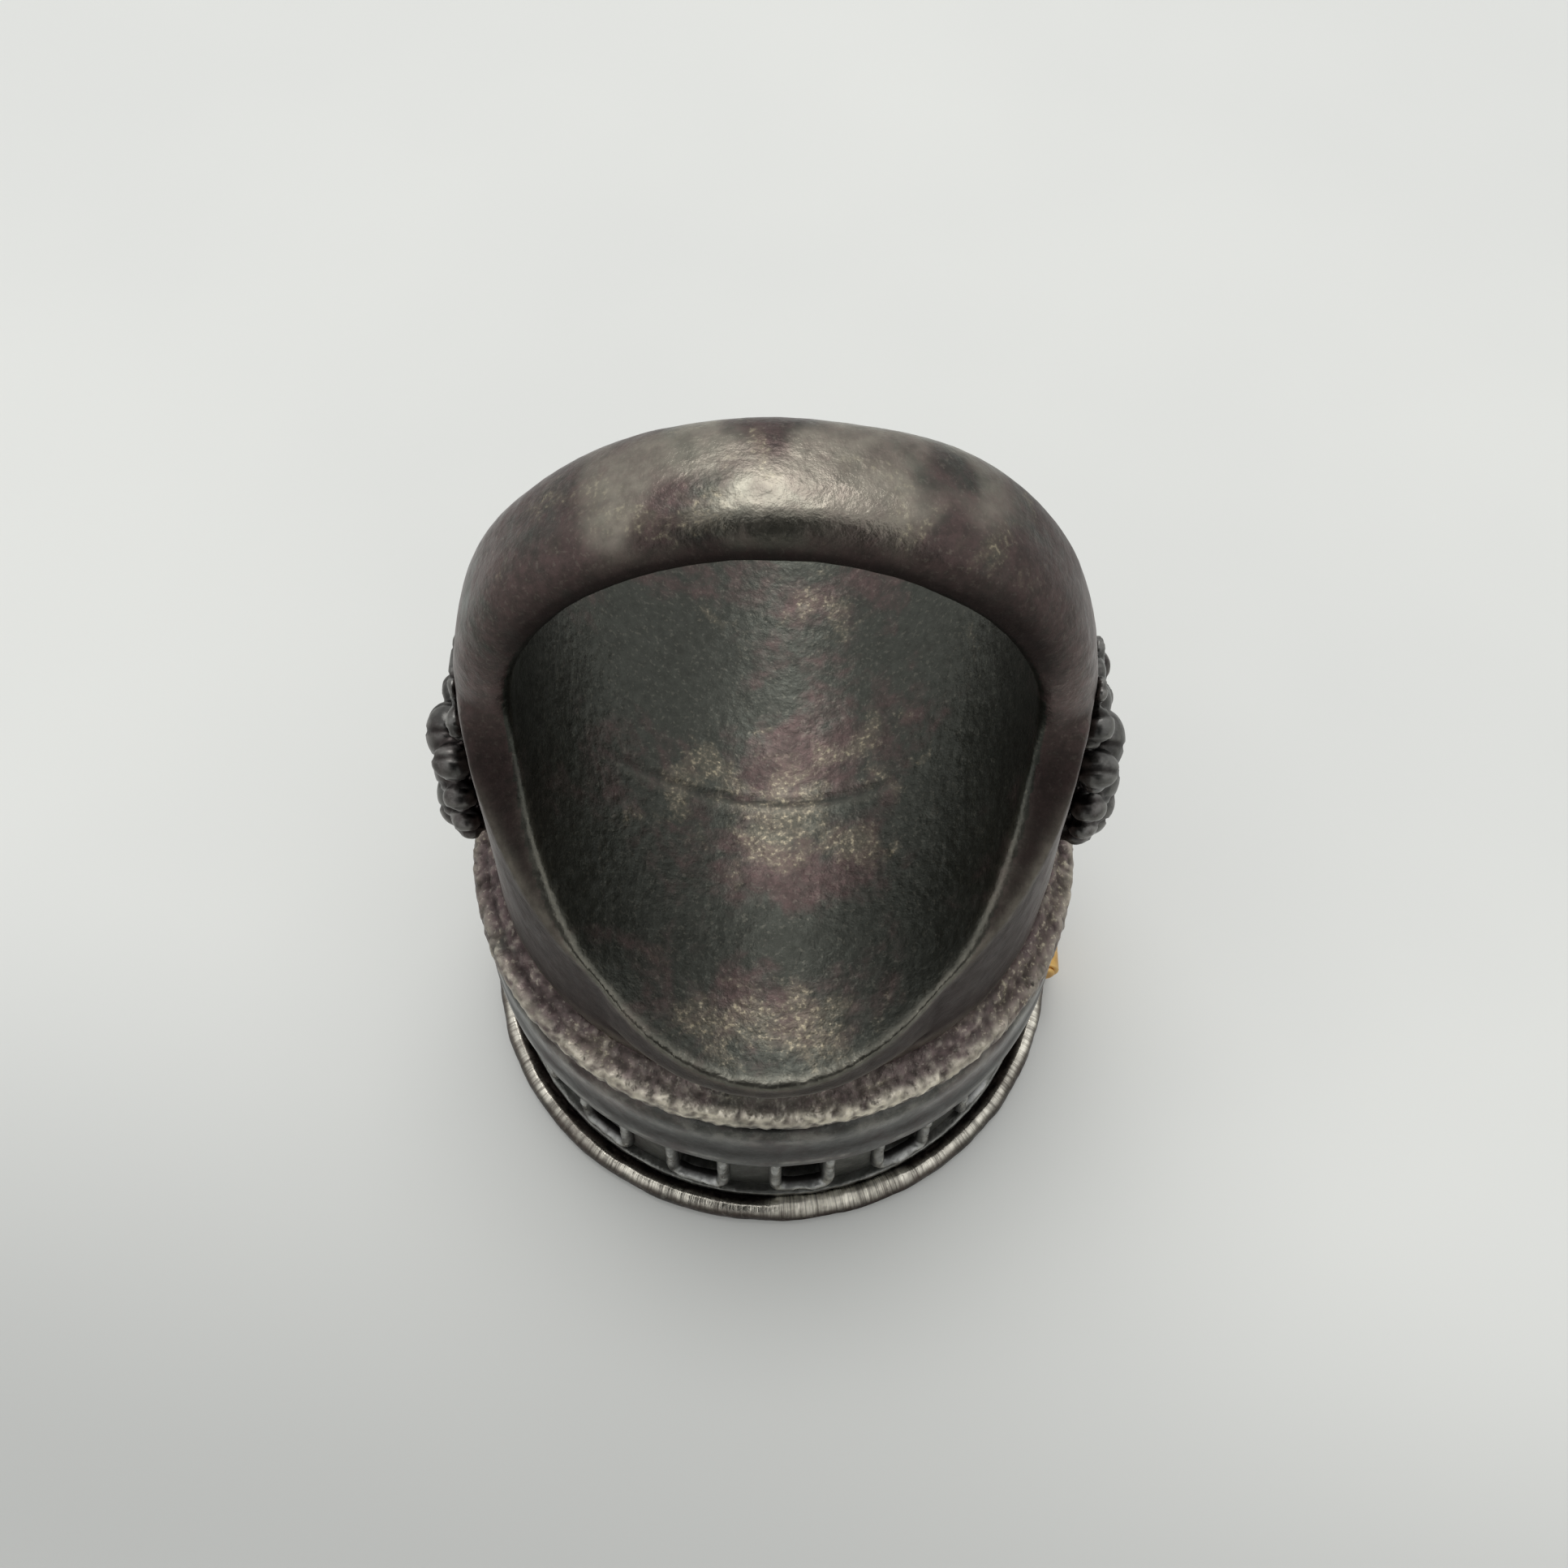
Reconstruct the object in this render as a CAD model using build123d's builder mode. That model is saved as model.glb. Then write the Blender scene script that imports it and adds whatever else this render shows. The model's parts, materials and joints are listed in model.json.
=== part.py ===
"""A cast pewter locket ring, standing on its lid, in millimetres.

+Z is up, +X is the side with the hinge and +Y is the finger's direction. The origin is on the table,
at the middle of the round lid that the ring stands on. The finger goes through along Y, above the head.
"""

from build123d import *
import os
from math import cos, degrees, radians, sin, tan

# --- Finger band and saddle -------------------------------------------------
bore_radius = 9.8            # inside of the band: 61.5 mm round
bore_height = 27.0           # bore axis above the table
band_thickness = 2.35
band_width = 5.6             # along the finger, at the back of the band
band_rounding = 1.9          # outer edges of the band
band_drop = 0.3              # the band's outside is this much below its bore, so its back is thinner
flare_angle = 51.0           # how far each side of the saddle leans out from upright
flare_start = 1.1            # below the bore axis, where the band begins to widen
flare_rounding = 4.0
saddle_reach = 13.45         # from the middle to each tip of the saddle, along the finger
lip_half_width = 10.2        # half the width of the oval lip round the saddle's opening
lip_thickness = 1.3

# --- Head -------------------------------------------------------------------
crest_radius = 13.35         # rope edge of the cornice
cornice_height = 2.4
ledge_rise = 1.1             # from the crest up to the saddle's foot
crest_depth = 0.7
crest_rounding = 0.3
torus_radius = 13.3
torus_height = 4.98
torus_rounding = 0.9
gallery_radius = 12.25       # outside of the pierced wall
gallery_wall = 0.85
gallery_height = 4.95
plinth_radius = 12.7
plinth_height = 0.4

# --- Windows ----------------------------------------------------------------
window_count = 16            # places round the wall; the hinge plate takes one of them
window_phase = 7.5           # first window, in degrees from -Y towards +X
window_width = 1.85
window_sill = 0.45           # frame's bottom bar, up from the plinth
window_head_gap = 0.6        # wall left above a window
frame_post = 0.6
frame_relief = 0.35

# --- Compartment and lid ----------------------------------------------------
cup_wall = 0.7
cup_floor = 1.6
joint_gap = 0.05             # solder gap between nested rings
lid_gap = 0.12               # between the lid's back face and the plinth
lid_radius = 13.65
rim_width = 1.05
rim_height = 1.3
plate_thickness = 0.7
plate_recess = 0.4           # front of the plate, up from the table
collar_wall = 0.65
collar_engagement = 0.9      # how far the collar reaches into the cup
collar_clearance = 0.12
collar_relief = 62.0         # half the gap left in the collar at the hinge, in degrees
boss_radius = 8.0
boss_height = 0.3
boss_rounding = 0.18

# --- Hinge ------------------------------------------------------------------
hinge_setback = 0.4          # hinge axis, in from the lid's edge
hinge_z = 3.0
barrel_radius = 0.75
pin_radius = 0.35
pin_clearance = 0.05
lid_knuckle_length = 1.2
head_knuckle_length = 1.0
knuckle_gap = 0.12
pin_head_radius = 0.55
pin_head_height = 0.22
pin_head_rounding = 0.15
leaf_clearance = 0.12        # between the lid's leaf and what turns past it
hinge_plate_thickness = 0.3
hinge_plate_inset = 0.15     # the plate is this much short of the barrel at each end

# --- Shoulder ornaments -----------------------------------------------------
ornament_reach = 14.3        # outermost point of a scroll, from the middle
ornament_foot_gap = 0.6      # above the ledge
leaf_half_width = 3.2

# --- Heights that follow ----------------------------------------------------
lid_back = plate_recess + plate_thickness
hinge_x = lid_radius - hinge_setback
plinth_bottom = lid_back + lid_gap
gallery_bottom = plinth_bottom + plinth_height
torus_bottom = gallery_bottom + gallery_height
cornice_bottom = torus_bottom + torus_height
saddle_bottom = cornice_bottom + cornice_height
band_radius = bore_radius + band_thickness
cup_radius = gallery_radius - gallery_wall - joint_gap
cup_bore = cup_radius - cup_wall
window_height = gallery_height - window_sill - window_head_gap
barrel_length = lid_knuckle_length + 2 * (head_knuckle_length + knuckle_gap)
inch_of_cut = 1.0            # how far a cutting shape runs past what it cuts

os.makedirs("parts", exist_ok=True)


def write(builder, name):
    """Names a finished piece and writes its file."""
    builder.part.label = name
    export_step(builder.part, f"parts/{name}.step")


def ring_section(points):
    """A closed outline of (radius, height) points, on the plane through the Z axis."""
    with BuildSketch(Plane.XZ) as section:
        with BuildLine():
            Polyline(*points, close=True)
        make_face()
    return section


# --- Shank: the band, and the saddle that it widens into --------------------
lean = tan(radians(flare_angle))
flare_top = bore_height - flare_start
flare_drop = (saddle_reach - band_width / 2) / lean
past_band = bore_height + band_radius + inch_of_cut

with BuildPart() as shank:
    with BuildSketch(Plane.XY.offset(saddle_bottom)):
        Circle(band_radius)
    extrude(amount=bore_height - saddle_bottom)
    lip_bottom = bore_height - bore_radius - lip_thickness
    with BuildSketch(Plane.XY.offset(lip_bottom)):
        Ellipse(lip_half_width, saddle_reach)
    extrude(amount=bore_height - lip_bottom)
    with BuildSketch(Plane.XY.offset(bore_height - band_drop)) as band_section:
        with Locations((bore_radius + band_thickness / 2, 0)):
            Rectangle(band_thickness, band_width)
        fillet(band_section.vertices().group_by(Axis.X)[-1], band_rounding)
    revolve(axis=Axis((0, 0, bore_height - band_drop), (0, 1, 0)), revolution_arc=360)
    with BuildSketch(Plane.YZ) as side_view:
        with BuildLine():
            half = [
                (band_width / 2, past_band),
                (band_width / 2, flare_top),
                (saddle_reach, flare_top - flare_drop),
                (saddle_reach, saddle_bottom),
            ]
            Polyline(*half, *[(-y, z) for y, z in reversed(half)], close=True)
        make_face()
        waist = side_view.vertices().group_by(Axis.Y)[2]
        fillet(waist, flare_rounding)
    extrude(amount=band_radius + inch_of_cut, both=True, mode=Mode.INTERSECT)
    with BuildSketch(Plane.XZ):
        with Locations((0, bore_height)):
            Circle(bore_radius)
    extrude(amount=saddle_reach + inch_of_cut, both=True, mode=Mode.SUBTRACT)
write(shank, "shank")

# --- Cornice: the head's back plate, with its sloping ledge -----------------
crest_top = saddle_bottom - ledge_rise
with BuildPart() as cornice:
    with BuildSketch(Plane.XZ) as cornice_section:
        with BuildLine():
            Polyline(
                (0, cornice_bottom),
                (torus_radius - crest_depth, cornice_bottom),
                (torus_radius - crest_depth, crest_top - crest_depth),
                (crest_radius, crest_top - crest_depth),
                (crest_radius, crest_top),
                (band_radius, saddle_bottom),
                (0, saddle_bottom),
                close=True,
            )
        make_face()
        rope_corners = cornice_section.vertices().group_by(Axis.X)[-1]
        fillet(rope_corners, crest_rounding)
    revolve(axis=Axis.Z)
write(cornice, "cornice")

# --- Torus: the smooth round-edged moulding under the cornice ---------------
torus_inner = cup_radius + joint_gap
with BuildPart() as torus:
    with BuildSketch(Plane.XZ) as torus_section:
        with BuildLine():
            Polyline(
                (torus_inner, torus_bottom),
                (torus_radius, torus_bottom),
                (torus_radius, cornice_bottom),
                (torus_inner, cornice_bottom),
                close=True,
            )
        make_face()
        fillet(torus_section.vertices().group_by(Axis.X)[-1], torus_rounding)
    revolve(axis=Axis.Z)
write(torus, "torus_moulding")


def window_angles():
    """Places of the windows, in degrees round from +X, leaving out any whose frame meets the hinge plate."""
    pitch = 360 / window_count
    places = [-90 + window_phase + pitch * k for k in range(window_count)]
    frame_half = window_width / 2 + frame_post
    reach = degrees((barrel_length / 2 - hinge_plate_inset + frame_half) / gallery_radius)
    turned = [(a + 180) % 360 - 180 for a in places]
    return [a for a in turned if not -reach < a < reach]


# --- Gallery wall: a thin drum pierced by the windows -----------------------
with BuildPart() as gallery:
    with BuildSketch(Plane.XY.offset(gallery_bottom)):
        Circle(gallery_radius)
        Circle(cup_radius + joint_gap, mode=Mode.SUBTRACT)
    extrude(amount=gallery_height)
    for angle in window_angles():
        wall_face = Plane(
            origin=(0, 0, gallery_bottom + window_sill),
            x_dir=(-sin(radians(angle)), cos(radians(angle)), 0),
            z_dir=(cos(radians(angle)), sin(radians(angle)), 0),
        )
        with BuildSketch(wall_face.offset(cup_radius - inch_of_cut)):
            Rectangle(window_width, window_height, align=(Align.CENTER, Align.MIN))
        extrude(amount=gallery_wall + 2 * inch_of_cut, mode=Mode.SUBTRACT)
write(gallery, "gallery_wall")

# --- Plinth: the narrow step that the frames stand on -----------------------
with BuildPart() as plinth:
    with BuildSketch(Plane.XY.offset(plinth_bottom)):
        Circle(plinth_radius)
        Circle(cup_radius + joint_gap, mode=Mode.SUBTRACT)
    extrude(amount=plinth_height)
    leaf_half = lid_knuckle_length / 2 + leaf_clearance
    with BuildSketch(Plane.XY.offset(plinth_bottom)):
        with Locations((plinth_radius, 0)):
            Rectangle(2 * (plinth_radius - gallery_radius), 2 * leaf_half)
    extrude(amount=plinth_height, mode=Mode.SUBTRACT)
write(plinth, "gallery_plinth")

# --- Window frames: a raised U round the foot and sides of each window ------
with BuildPart() as frames:
    with BuildSketch(Plane.XY.offset(gallery_bottom)):
        Circle(gallery_radius + frame_relief)
        Circle(gallery_radius, mode=Mode.SUBTRACT)
    extrude(amount=gallery_height)
    with BuildPart(mode=Mode.PRIVATE) as stencil:
        for angle in window_angles():
            frame_face = Plane(
                origin=(0, 0, gallery_bottom),
                x_dir=(-sin(radians(angle)), cos(radians(angle)), 0),
                z_dir=(cos(radians(angle)), sin(radians(angle)), 0),
            )
            with BuildSketch(frame_face.offset(cup_radius)):
                outer_width = window_width + 2 * frame_post
                Rectangle(outer_width, gallery_height, align=(Align.CENTER, Align.MIN))
                with Locations((0, window_sill)):
                    Rectangle(
                        window_width,
                        gallery_height,
                        align=(Align.CENTER, Align.MIN),
                        mode=Mode.SUBTRACT,
                    )
            extrude(amount=gallery_wall + 2 * inch_of_cut)
    add(stencil.part, mode=Mode.INTERSECT)
write(frames, "window_frames")

# --- Compartment cup: the lining, open towards the lid ----------------------
with BuildPart() as cup:
    with BuildSketch(Plane.XY.offset(plinth_bottom)):
        Circle(cup_radius)
    extrude(amount=cornice_bottom - plinth_bottom)
    with BuildSketch(Plane.XY.offset(plinth_bottom)):
        Circle(cup_bore)
    extrude(amount=cornice_bottom - plinth_bottom - cup_floor, mode=Mode.SUBTRACT)
write(cup, "compartment_cup")

# --- Lid: a saucer plate in a rounded rim -----------------------------------
rim_inner = lid_radius - rim_width
with BuildPart() as lid_plate:
    with BuildSketch(Plane.XY.offset(plate_recess)):
        Circle(rim_inner)
    extrude(amount=plate_thickness)
write(lid_plate, "lid_plate")

with BuildPart() as lid_rim:
    with BuildSketch(Plane.XZ):
        with BuildLine():
            rim_shoulder = lid_radius - rim_width / 2
            Line((rim_inner, 0), (rim_shoulder, 0))
            ThreePointArc((rim_shoulder, 0), (lid_radius, rim_height / 2), (rim_shoulder, rim_height))
            Line((rim_shoulder, rim_height), (rim_inner, lid_back))
            Line((rim_inner, lid_back), (rim_inner, 0))
        make_face()
    revolve(axis=Axis.Z)
write(lid_rim, "lid_rim")

collar_radius = cup_bore - collar_clearance
with BuildPart() as lid_collar:
    with BuildSketch(Plane.XY.offset(lid_back)):
        Circle(collar_radius)
        Circle(collar_radius - collar_wall, mode=Mode.SUBTRACT)
        with BuildLine():
            far = 2 * collar_radius
            edge = radians(collar_relief)
            Polyline(
                (0, 0),
                (far * cos(edge), -far * sin(edge)),
                (far, 0),
                (far * cos(edge), far * sin(edge)),
                close=True,
            )
        make_face(mode=Mode.SUBTRACT)
    extrude(amount=lid_gap + collar_engagement)
write(lid_collar, "lid_collar")

with BuildPart() as lid_boss:
    with BuildSketch(Plane.XY.offset(plate_recess - boss_height)):
        Circle(boss_radius)
    extrude(amount=boss_height)
    fillet(lid_boss.edges().group_by(Axis.Z)[0], boss_rounding)
write(lid_boss, "lid_boss")

# --- Hinge: a brass barrel in three knuckles, on one pin --------------------
lid_half = lid_knuckle_length / 2
head_start = lid_half + knuckle_gap


def across(y):
    """The plane across the hinge at y, with its own origin on the hinge axis."""
    return Plane(origin=(hinge_x, y, hinge_z), x_dir=(1, 0, 0), z_dir=(0, 1, 0))


leaf_inner = plinth_radius + leaf_clearance
leaf_depth = hinge_z - rim_height / 2
with BuildPart() as lid_knuckle:
    with BuildSketch(across(-lid_half)):
        Circle(barrel_radius)
        leaf_left = leaf_inner - hinge_x
        with Locations((leaf_left, 0)):
            Rectangle(barrel_radius - leaf_left, leaf_depth, align=(Align.MIN, Align.MIN))
        Circle(pin_radius + pin_clearance, mode=Mode.SUBTRACT)
    extrude(amount=lid_knuckle_length)
    add(lid_rim.part, mode=Mode.SUBTRACT)
write(lid_knuckle, "hinge_knuckle_lid")

with BuildPart() as head_knuckles:
    for start in (head_start, -head_start - head_knuckle_length):
        with BuildSketch(across(start)):
            Circle(barrel_radius)
            plate_left = gallery_radius - hinge_x
            with Locations((plate_left, 0)):
                Rectangle(-plate_left, barrel_radius, align=(Align.MIN, Align.MAX))
            Circle(pin_radius, mode=Mode.SUBTRACT)
        extrude(amount=head_knuckle_length)
    with BuildSketch(Plane.XY.offset(hinge_z)):
        Circle(gallery_radius + hinge_plate_thickness)
        Circle(gallery_radius, mode=Mode.SUBTRACT)
        with Locations((gallery_radius, 0)):
            Rectangle(gallery_radius, barrel_length - 2 * hinge_plate_inset, mode=Mode.INTERSECT)
    extrude(amount=torus_bottom - hinge_z)
write(head_knuckles, "hinge_knuckles_head")

with BuildPart() as hinge_pin:
    with BuildSketch(across(-barrel_length / 2)):
        Circle(pin_radius)
    extrude(amount=barrel_length)
    for start in (barrel_length / 2, -barrel_length / 2 - pin_head_height):
        with BuildSketch(across(start)):
            Circle(pin_head_radius)
        extrude(amount=pin_head_height)
    pin_ends = hinge_pin.edges().group_by(Axis.Y)
    fillet(pin_ends[0] + pin_ends[-1], pin_head_rounding)
write(hinge_pin, "hinge_pin")

# --- Shoulder ornaments: a cast leaf of five scrolls on each side -----------
ornament_bottom = saddle_bottom + ornament_foot_gap
# Outline of the scrolls seen along the finger: (distance from the middle, height above the foot),
# in turn the valley below each scroll and the scroll's outermost point.
scroll_outline = (
    (12.5, 0.0),
    (13.9, 1.0),
    (13.5, 2.1),
    (14.1, 3.1),
    (13.5, 4.3),
    (ornament_reach, 6.0),
    (13.5, 7.7),
    (13.8, 9.3),
    (12.9, 11.0),
    (12.8, 12.2),
    (12.2, 13.4),
)
leaf_height = scroll_outline[-1][1]


def ornament(side, name):
    """One shoulder's ornament; side is 1 for +X and -1 for -X."""
    outline = [(side * x, ornament_bottom + z) for x, z in scroll_outline]
    deep = side * (band_radius - inch_of_cut)
    with BuildPart() as leaf:
        with BuildSketch(Plane.XZ):
            with BuildLine():
                for k in range(0, len(outline) - 2, 2):
                    ThreePointArc(*outline[k : k + 3])
                Polyline(outline[-1], (deep, outline[-1][1]), (deep, outline[0][1]), outline[0])
            make_face()
        extrude(amount=leaf_half_width, both=True)
        with BuildSketch(Plane.YZ):
            with Locations((0, ornament_bottom + leaf_height / 2)):
                Ellipse(leaf_half_width, leaf_height / 2)
        extrude(amount=side * (ornament_reach + inch_of_cut), mode=Mode.INTERSECT)
        add(shank.part, mode=Mode.SUBTRACT)
    write(leaf, name)


ornament(-1, "shoulder_ornament_left")
ornament(1, "shoulder_ornament_right")
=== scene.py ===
"""Looks of the antiqued pewter locket ring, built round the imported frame. Lengths are in millimetres until a
mesh is written, and then in metres."""

import json
from math import cos, pi, radians, sin

import bmesh
import bpy
import numpy as np
from mathutils import Matrix, Vector, noise


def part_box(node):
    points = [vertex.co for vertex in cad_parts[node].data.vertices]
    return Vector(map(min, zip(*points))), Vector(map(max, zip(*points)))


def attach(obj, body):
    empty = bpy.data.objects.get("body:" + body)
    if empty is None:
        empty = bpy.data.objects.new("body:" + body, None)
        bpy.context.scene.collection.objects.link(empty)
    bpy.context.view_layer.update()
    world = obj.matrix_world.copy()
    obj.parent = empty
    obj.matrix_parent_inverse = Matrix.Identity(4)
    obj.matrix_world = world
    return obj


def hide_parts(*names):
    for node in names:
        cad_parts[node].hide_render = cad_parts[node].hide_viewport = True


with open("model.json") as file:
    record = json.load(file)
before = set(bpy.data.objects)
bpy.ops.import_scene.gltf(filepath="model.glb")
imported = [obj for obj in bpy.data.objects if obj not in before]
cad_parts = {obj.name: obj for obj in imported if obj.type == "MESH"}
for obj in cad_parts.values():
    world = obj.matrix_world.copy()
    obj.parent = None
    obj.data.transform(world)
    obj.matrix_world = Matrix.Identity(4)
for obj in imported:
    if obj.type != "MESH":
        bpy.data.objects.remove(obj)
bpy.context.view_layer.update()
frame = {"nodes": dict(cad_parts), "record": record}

MM = 0.001
BODY_OF = {n: b for b, members in frame["record"]["behaviour"]["bodies"].items() for n in members}
COARSE = 1.0
SOFT_TIMES = 26                          # smoothing passes where a casting is much rounded
EDGE_GAIN = 9                            # how strongly a bend of 1 mm shows as wear or grime


def node_box(node):
    """A CAD node's lowest and highest corners, in millimetres."""
    low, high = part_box(node)
    return np.array(low) / MM, np.array(high) / MM


BORE_X, BORE_Z = 0.0, 27.0               # the bore's axis, which runs along Y
BORE_R = 9.8
BAND_R = 12.15                           # outside of the band
RIM_R = 13.65                            # outside of the lid's rim
LEDGE_R = 12.15                          # where the cornice's sloping ledge meets the saddle
FRONT = 1.5 * pi                         # the side with the least Y, as an angle round Z


# --- Numbers on arrays --------------------------------------------------------
def smooth_step(low, high, value):
    """0 at low and 1 at high, easing between them; low may be the larger of the two."""
    t = np.clip((value - low) / (high - low), 0, 1)
    return t * t * (3 - 2 * t)


def blot(value, middle, reach):
    """1 at middle, and fading out over reach or so on both sides."""
    return np.exp(-(((value - middle) / reach) ** 2))


def rough(points, size, octaves=3, seed=0.0):
    """Fractal noise, about -1 to 1, at each point; size is its largest feature in millimetres."""
    k = 1.0 / size
    off = Vector((seed * 7.3, seed * -3.1, seed * 5.7))
    return np.array([noise.fractal(Vector(p) * k + off, 1.0, 2.0, octaves) for p in points.tolist()])


# --- Mesh builders ------------------------------------------------------------
def finish_piece(node, points, faces, material, wear_and_highlight, grime_and_shade, tint=0.5, warm=0.5):
    """A new object that stands for a CAD node, with its wear and painted highlight, grime and painted shade, purple
    tint and golden warmth from 0 to 1, each one number or one a point."""
    mesh = bpy.data.meshes.new(node + "_cast")
    mesh.from_pydata((points * MM).tolist(), [], faces)
    mesh.validate()
    mesh.update()
    for name, values in (("wear_and_highlight", wear_and_highlight), ("grime_and_shade", grime_and_shade), ("tint", tint), ("warm", warm)):
        layer = mesh.attributes.new(name, "FLOAT", "POINT")
        layer.data.foreach_set("value", np.full(len(points), values, np.float32))
    mesh.polygons.foreach_set("use_smooth", [True] * len(mesh.polygons))
    mesh.materials.append(material)
    obj = bpy.data.objects.new(node + "_cast", mesh)
    bpy.context.scene.collection.objects.link(obj)
    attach(obj, BODY_OF[node])
    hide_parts(node)
    return obj


def resample(points, step, closed):
    """The outline with a point about every step along each straight run."""
    out = []
    count = len(points) if closed else len(points) - 1
    for k in range(count):
        a, b = np.array(points[k], float), np.array(points[(k + 1) % len(points)], float)
        n = max(1, round(float(np.hypot(*(b - a))) / step))
        out += [a + (b - a) * i / n for i in range(n)]
    if not closed:
        out.append(np.array(points[-1], float))
    return np.array(out)


def soften(line, times, closed):
    """Rounds an outline's corners, keeping an open line's ends where they are."""
    line = line.copy()
    for _ in range(times):
        if closed:
            line = 0.5 * line + 0.25 * (np.roll(line, 1, 0) + np.roll(line, -1, 0))
        else:
            line[1:-1] = 0.5 * line[1:-1] + 0.25 * (line[:-2] + line[2:])
    return line


def lathe(node, outline, step, turns, material, relief, rounding=2):
    """A turned piece. outline is (radius, height) points, counter-clockwise. If it starts on the axis, it also
    ends there and the piece is solid; if not, it is closed into a ring. relief(angle, radius, height, points)
    gives the lift, then wear and painted highlight, grime and painted shade, tint and warmth as finish_piece takes
    them."""
    closed = outline[0][0] > 1e-6
    line = soften(resample(outline, step * COARSE, closed), rounding, closed)
    ahead = np.roll(line, -1, 0) if closed else np.vstack([line[1:], line[-1:]])
    behind = np.roll(line, 1, 0) if closed else np.vstack([line[:1], line[:-1]])
    along = ahead - behind
    along /= np.maximum(np.hypot(along[:, 0], along[:, 1])[:, None], 1e-9)
    normal = np.stack([along[:, 1], -along[:, 0]], 1)
    count = round(turns / COARSE)
    angle = np.arange(count) * 2 * pi / count
    a = np.repeat(angle, len(line))
    r = np.tile(line[:, 0], count)
    z = np.tile(line[:, 1], count)
    nr, nz = np.tile(normal[:, 0], count), np.tile(normal[:, 1], count)
    base = np.stack([r * np.cos(a), r * np.sin(a), z], 1)
    lift, *shades = relief(a, r, z, base)
    lift = np.where(r < 1e-6, 0, lift)
    lifted_r = r + nr * lift
    points = np.stack([lifted_r * np.cos(a), lifted_r * np.sin(a), z + nz * lift], 1)
    m = len(line)
    index = np.arange(count * m).reshape(count, m)
    if not closed:
        index[:, 0], index[:, -1] = index[0, 0], index[0, -1]
    nxt = np.roll(index, -1, 0)
    faces = []
    for j in range(m if closed else m - 1):
        i = (j + 1) % m
        for p, q, s, t in zip(index[:, j], nxt[:, j], nxt[:, i], index[:, i]):
            faces.append([int(v) for v in dict.fromkeys((p, q, s, t))])
    used = np.unique(index)
    back = np.full(count * m, -1)
    back[used] = np.arange(len(used))
    faces = [[int(back[v]) for v in f] for f in faces]
    shades = [np.full(count * m, shade)[used] for shade in shades]
    return finish_piece(node, points[used], faces, material, *shades)


def voxel_mesh(mesh, voxel):
    """mesh, in millimetres, as one even skin of quads: (points, faces, edges)."""
    obj = bpy.data.objects.new("voxel_work", mesh)
    bpy.context.scene.collection.objects.link(obj)
    mod = obj.modifiers.new("skin", "REMESH")
    mod.mode = "VOXEL"
    mod.voxel_size = voxel * COARSE
    mod.adaptivity = 0
    depsgraph = bpy.context.evaluated_depsgraph_get()
    new = bpy.data.meshes.new_from_object(obj.evaluated_get(depsgraph))
    bpy.data.objects.remove(obj)
    points = np.zeros(len(new.vertices) * 3)
    new.vertices.foreach_get("co", points)
    edges = np.zeros(len(new.edges) * 2, int)
    new.edges.foreach_get("vertices", edges)
    faces = [list(p.vertices) for p in new.polygons]
    bpy.data.meshes.remove(new)
    return points.reshape(-1, 3), faces, edges.reshape(-1, 2)


def neighbours_mean(values, edges, count):
    """The mean of each point's neighbours, for one number or one vector a point."""
    if values.ndim > 1:
        return np.stack([neighbours_mean(column, edges, count) for column in values.T], 1)
    ends, others = edges.ravel(), edges[:, ::-1].ravel()
    return np.bincount(ends, values[others], len(values)) / count


def normals_of(points, faces):
    """The outward direction at each point of a skin of quads and triangles."""
    quads = np.array([f if len(f) == 4 else f + f[-1:] for f in faces])
    n = np.cross(points[quads[:, 2]] - points[quads[:, 0]], points[quads[:, 3]] - points[quads[:, 1]])
    out = np.zeros_like(points)
    for k in range(4):
        np.add.at(out, quads[:, k], n)
    return out / np.maximum(np.linalg.norm(out, axis=1)[:, None], 1e-12)


def relax(points, edges, times):
    """Softens edges with no net shrinking of broad shapes."""
    count = np.bincount(edges.ravel(), minlength=len(points)).astype(float)
    for _ in range(times):
        points = points + 0.5 * (neighbours_mean(points, edges, count) - points)
        points = points - 0.48 * (neighbours_mean(points, edges, count) - points)
    return points


def bend_of(points, faces, edges, spread):
    """How far each point stands out of its surroundings: above 0 on an edge, below 0 in a hollow."""
    count = np.bincount(edges.ravel(), minlength=len(points)).astype(float)
    blurred = points
    for _ in range(spread):
        blurred = blurred + 0.6 * (neighbours_mean(blurred, edges, count) - blurred)
    out = np.einsum("ij,ij->i", points - blurred, normals_of(points, faces))
    for _ in range(2):
        out = 0.5 * out + 0.5 * neighbours_mean(out, edges, count)
    return out


def cast(node, mesh, voxel, rounding, material, relief, spread=14, gain=1.0, soft=None):
    """An even-skinned casting made from a mesh in millimetres. relief(points, normals) gives the lift, how much
    of the wear of its edges shows, more wear, more grime and painted shade, tint and warmth. soft(points) is 1
    where edges are much rounded."""
    points, faces, edges = voxel_mesh(mesh, voxel)
    points = relax(points, edges, max(1, round(rounding / COARSE)))
    if soft:
        share = soft(points)[:, None]
        count = np.bincount(edges.ravel(), minlength=len(points)).astype(float)
        for _ in range(round(SOFT_TIMES / COARSE**2)):
            points = points + 0.6 * share * (neighbours_mean(points, edges, count) - points)
    normals = normals_of(points, faces)
    lift, kept, more_wear, more_grime_and_shade, tint, warm = relief(points, normals)
    points = points + normals * lift[:, None]
    bend = bend_of(points, faces, edges, max(3, round(spread / COARSE)))
    wear_and_highlight = np.clip(bend * EDGE_GAIN * gain, 0, 1) * kept + more_wear
    grime_and_shade = np.clip(-bend * EDGE_GAIN * gain, 0, 1) + more_grime_and_shade
    return finish_piece(node, points, faces, material, np.clip(wear_and_highlight, 0, 1), np.clip(grime_and_shade, 0, 1), tint, warm)


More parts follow.
